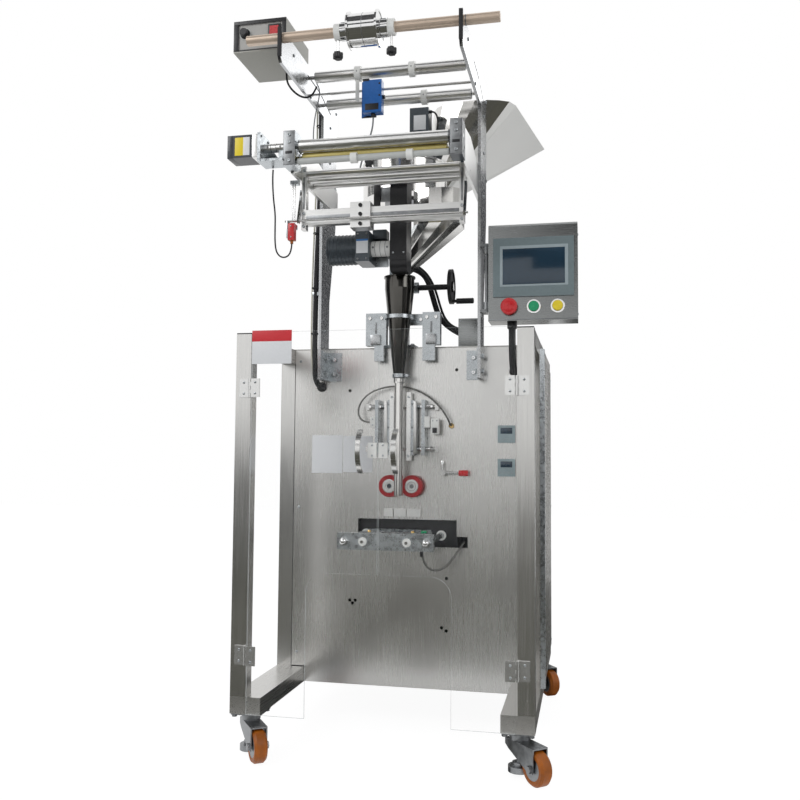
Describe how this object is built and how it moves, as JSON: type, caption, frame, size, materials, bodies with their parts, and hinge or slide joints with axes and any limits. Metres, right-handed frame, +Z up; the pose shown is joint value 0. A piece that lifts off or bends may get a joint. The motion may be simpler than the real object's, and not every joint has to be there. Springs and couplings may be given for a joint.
{
  "type": "vertical form-fill-seal packaging machine",
  "caption": "Floor-standing vertical form-fill-seal machine: film reel and rollers over a filling tube, sealing jaws behind clear doors, hopper, control box and castors.",
  "frame": {"origin": "on the floor, under the middle of the machine's outer box", "axes": "+Z up, the operator stands on the -Y side and looks along +Y, +X to the operator's right"},
  "size_m": [0.858, 0.994, 1.855],
  "materials": {
    "frame_steel": "brushed",
    "panel_steel": "brushed",
    "plate_white": "satin",
    "pale_shaft": "matte sleeve",
    "stainless": "brushed",
    "polished": "polished sheet",
    "chrome": "polished",
    "zinc": "zinc plated",
    "aluminium": "satin",
    "acrylic": "clear sheet",
    "rubber_black": "matte",
    "tyre": "semi matte",
    "motor_dark": "satin",
    "black_plastic": "matte",
    "case_grey": "hammered",
    "sensor_blue": "semi gloss",
    "red_plastic": "gloss",
    "green_plastic": "gloss",
    "yellow_plastic": "gloss",
    "red_rubber": "matte",
    "gold": "polished",
    "grey_plastic": "matte",
    "zinc_dark": "plated"
  },
  "bodies": {
    "frame": {"main_frame": "frame_steel", "front_panel": "panel_steel", "cabinet_covers": "panel_steel", "frame_fittings": "zinc", "arm_plates": "plate_white", "arm_brackets": "zinc", "film_subframe": "aluminium", "feed_motor": "motor_dark", "film_sensors": "sensor_blue", "aux_case": "case_grey", "filling_funnel": "polished", "funnel_holder": "zinc", "metering_stand": "zinc", "hopper": "polished", "metering_drum": "polished", "metering_motors": "motor_dark", "sealing_guides": "stainless", "drive_unit": "motor_dark", "temperature_controllers": "black_plastic", "sealer_conduit": "stainless", "jaw_cable": "stainless", "switch_lead": "rubber_black", "wiring": "rubber_black"},
    "left_door": {"left_door": "acrylic", "left_door_fittings": "chrome"},
    "right_door": {"right_door": "acrylic", "right_door_fittings": "chrome"},
    "film_shaft": {"film_shaft": "pale_shaft"},
    "reel_chuck": {"reel_chuck": "aluminium"},
    "upper_roller_front": {"upper_roller_front": "chrome"},
    "upper_roller_rear": {"upper_roller_rear": "chrome"},
    "feed_roller": {"feed_roller": "chrome"},
    "nip_roller": {"nip_roller": "gold"},
    "guide_roller": {"guide_roller": "grey_plastic"},
    "idler_roller_1": {"idler_roller_1": "chrome"},
    "idler_roller_2": {"idler_roller_2": "chrome"},
    "idler_roller_3": {"idler_roller_3": "chrome"},
    "dancer": {"dancer": "chrome"},
    "aux_knob": {"aux_knob": "black_plastic"},
    "metering_disc": {"metering_disc": "stainless"},
    "hand_crank": {"hand_crank": "black_plastic"},
    "sealer_left": {"sealer_left": "zinc"},
    "sealer_right": {"sealer_right": "zinc"},
    "draw_roller_left": {"draw_roller_left": "red_rubber"},
    "draw_roller_right": {"draw_roller_right": "red_rubber"},
    "front_jaw": {"front_jaw": "zinc"},
    "rear_jaw": {"rear_jaw": "zinc"},
    "roller_lever": {"roller_lever": "red_plastic"},
    "control_box": {"control_box": "stainless"},
    "stop_button": {"stop_button": "red_plastic"},
    "start_button": {"start_button": "green_plastic"},
    "reset_button": {"reset_button": "yellow_plastic"},
    "castor_fork_front_left": {"castor_fork_front_left": "zinc_dark"},
    "castor_wheel_front_left": {"castor_wheel_front_left": "tyre"},
    "castor_fork_front_right": {"castor_fork_front_right": "zinc_dark"},
    "castor_wheel_front_right": {"castor_wheel_front_right": "tyre"},
    "castor_fork_rear_left": {"castor_fork_rear_left": "zinc_dark"},
    "castor_wheel_rear_left": {"castor_wheel_rear_left": "tyre"},
    "castor_fork_rear_right": {"castor_fork_rear_right": "zinc_dark"},
    "castor_wheel_rear_right": {"castor_wheel_rear_right": "tyre"}
  },
  "joints": [
    {"name": "left_door_hinge", "type": "hinge", "parent": "frame", "child": "left_door", "pos_m": [-0.381, -0.381, 0.583], "axis": [0, 0, -1], "range_deg": [0, 110]},
    {"name": "right_door_hinge", "type": "hinge", "parent": "frame", "child": "right_door", "pos_m": [0.289, -0.381, 0.583], "axis": [0, 0, 1], "range_deg": [0, 110]},
    {"name": "castor_swivel_front_left", "type": "hinge", "parent": "frame", "child": "castor_fork_front_left", "pos_m": [-0.381, -0.333, 0.08], "axis": [0, 0, 1], "continuous": true},
    {"name": "castor_roll_front_left", "type": "hinge", "parent": "castor_fork_front_left", "child": "castor_wheel_front_left", "pos_m": [-0.33986, -0.38963, 0.04], "axis": [0.809, 0.5878, 0], "continuous": true},
    {"name": "castor_swivel_front_right", "type": "hinge", "parent": "frame", "child": "castor_fork_front_right", "pos_m": [0.289, -0.333, 0.08], "axis": [0, 0, 1], "continuous": true},
    {"name": "castor_roll_front_right", "type": "hinge", "parent": "castor_fork_front_right", "child": "castor_wheel_front_right", "pos_m": [0.33399, -0.38662, 0.04], "axis": [0.766, 0.6428, 0], "continuous": true},
    {"name": "castor_swivel_rear_left", "type": "hinge", "parent": "frame", "child": "castor_fork_rear_left", "pos_m": [-0.381, 0.45, 0.08], "axis": [0, 0, 1], "continuous": true},
    {"name": "castor_roll_rear_left", "type": "hinge", "parent": "castor_fork_rear_left", "child": "castor_wheel_rear_left", "pos_m": [-0.346, 0.38938, 0.04], "axis": [0.866, 0.5, 0], "continuous": true},
    {"name": "castor_swivel_rear_right", "type": "hinge", "parent": "frame", "child": "castor_fork_rear_right", "pos_m": [0.289, 0.45, 0.08], "axis": [0, 0, 1], "continuous": true},
    {"name": "castor_roll_rear_right", "type": "hinge", "parent": "castor_fork_rear_right", "child": "castor_wheel_rear_right", "pos_m": [0.32814, 0.39197, 0.04], "axis": [0.829, 0.5592, 0], "continuous": true},
    {"name": "film_shaft_turn", "type": "hinge", "parent": "frame", "child": "film_shaft", "pos_m": [-0.046, -0.453, 1.781], "axis": [1, 0, 0], "continuous": true},
    {"name": "reel_chuck_shift", "type": "slide", "parent": "film_shaft", "child": "reel_chuck", "axis": [1, 0, 0], "range_m": [-0.1, 0.1]},
    {"name": "upper_roller_front_turn", "type": "hinge", "parent": "frame", "child": "upper_roller_front", "pos_m": [-0.059, -0.239, 1.772], "axis": [1, 0, 0], "continuous": true},
    {"name": "upper_roller_rear_turn", "type": "hinge", "parent": "frame", "child": "upper_roller_rear", "pos_m": [-0.059, -0.125, 1.742], "axis": [1, 0, 0], "continuous": true},
    {"name": "feed_roller_turn", "type": "hinge", "parent": "frame", "child": "feed_roller", "pos_m": [-0.059, -0.411, 1.518], "axis": [1, 0, 0], "continuous": true},
    {"name": "nip_roller_turn", "type": "hinge", "parent": "frame", "child": "nip_roller", "pos_m": [-0.059, -0.3977, 1.49246], "axis": [1, 0, 0], "continuous": true},
    {"name": "guide_roller_turn", "type": "hinge", "parent": "frame", "child": "guide_roller", "pos_m": [-0.059, -0.419, 1.477], "axis": [1, 0, 0], "continuous": true},
    {"name": "idler_roller_1_turn", "type": "hinge", "parent": "frame", "child": "idler_roller_1", "pos_m": [-0.059, -0.31, 1.48], "axis": [1, 0, 0], "continuous": true},
    {"name": "idler_roller_2_turn", "type": "hinge", "parent": "frame", "child": "idler_roller_2", "pos_m": [-0.059, -0.262, 1.48], "axis": [1, 0, 0], "continuous": true},
    {"name": "idler_roller_3_turn", "type": "hinge", "parent": "frame", "child": "idler_roller_3", "pos_m": [-0.059, -0.214, 1.48], "axis": [1, 0, 0], "continuous": true},
    {"name": "dancer_swing", "type": "hinge", "parent": "frame", "child": "dancer", "pos_m": [-0.059, -0.311, 1.43], "axis": [1, 0, 0], "range_deg": [-38, 0]},
    {"name": "aux_knob_turn", "type": "hinge", "parent": "frame", "child": "aux_knob", "pos_m": [-0.398, -0.412, 1.8215], "axis": [0, 1, 0], "range_deg": [0, 280]},
    {"name": "metering_disc_turn", "type": "hinge", "parent": "frame", "child": "metering_disc", "pos_m": [-0.076, 0.055, 1.506], "axis": [0, 0, 1], "continuous": true},
    {"name": "hand_crank_turn", "type": "hinge", "parent": "frame", "child": "hand_crank", "pos_m": [0.068, -0.003, 1.232], "axis": [1, 0, 0], "continuous": true},
    {"name": "sealer_right_close", "type": "slide", "parent": "frame", "child": "sealer_right", "axis": [-1, 0, 0], "range_m": [0, 0.017]},
    {"name": "sealer_left_close", "type": "slide", "parent": "frame", "child": "sealer_left", "axis": [1, 0, 0], "range_m": [0, 0.017]},
    {"name": "draw_roller_left_turn", "type": "hinge", "parent": "frame", "child": "draw_roller_left", "pos_m": [-0.091, -0.055, 0.664], "axis": [0, 1, 0], "continuous": true},
    {"name": "draw_roller_right_turn", "type": "hinge", "parent": "frame", "child": "draw_roller_right", "pos_m": [-0.027, -0.055, 0.664], "axis": [0, 1, 0], "continuous": true},
    {"name": "front_jaw_close", "type": "slide", "parent": "frame", "child": "front_jaw", "axis": [0, 1, 0], "range_m": [0, 0.05]},
    {"name": "rear_jaw_close", "type": "slide", "parent": "frame", "child": "rear_jaw", "axis": [0, -1, 0], "range_m": [0, 0.018]},
    {"name": "roller_lever_turn", "type": "hinge", "parent": "frame", "child": "roller_lever", "pos_m": [0.058, -0.045, 0.702], "axis": [0, 1, 0], "range_deg": [-90, 0]},
    {"name": "control_box_swing", "type": "hinge", "parent": "frame", "child": "control_box", "pos_m": [0.187, -0.119, 1.228], "axis": [0, 0, 1], "range_deg": [-60, 0]},
    {"name": "stop_button_press", "type": "slide", "parent": "control_box", "child": "stop_button", "axis": [0, 1, 0], "range_m": [0, 0.004], "stiffness_N_per_m": 900},
    {"name": "start_button_press", "type": "slide", "parent": "control_box", "child": "start_button", "axis": [0, 1, 0], "range_m": [0, 0.004], "stiffness_N_per_m": 500},
    {"name": "reset_button_press", "type": "slide", "parent": "control_box", "child": "reset_button", "axis": [0, 1, 0], "range_m": [0, 0.004], "stiffness_N_per_m": 500}
  ],
  "couplings": [
    {"joint": "nip_roller_turn", "follows": "feed_roller_turn", "ratio": -1.1923},
    {"joint": "sealer_left_close", "follows": "sealer_right_close", "ratio": 1},
    {"joint": "draw_roller_right_turn", "follows": "draw_roller_left_turn", "ratio": -1},
    {"joint": "rear_jaw_close", "follows": "front_jaw_close", "ratio": 0.36}
  ]
}
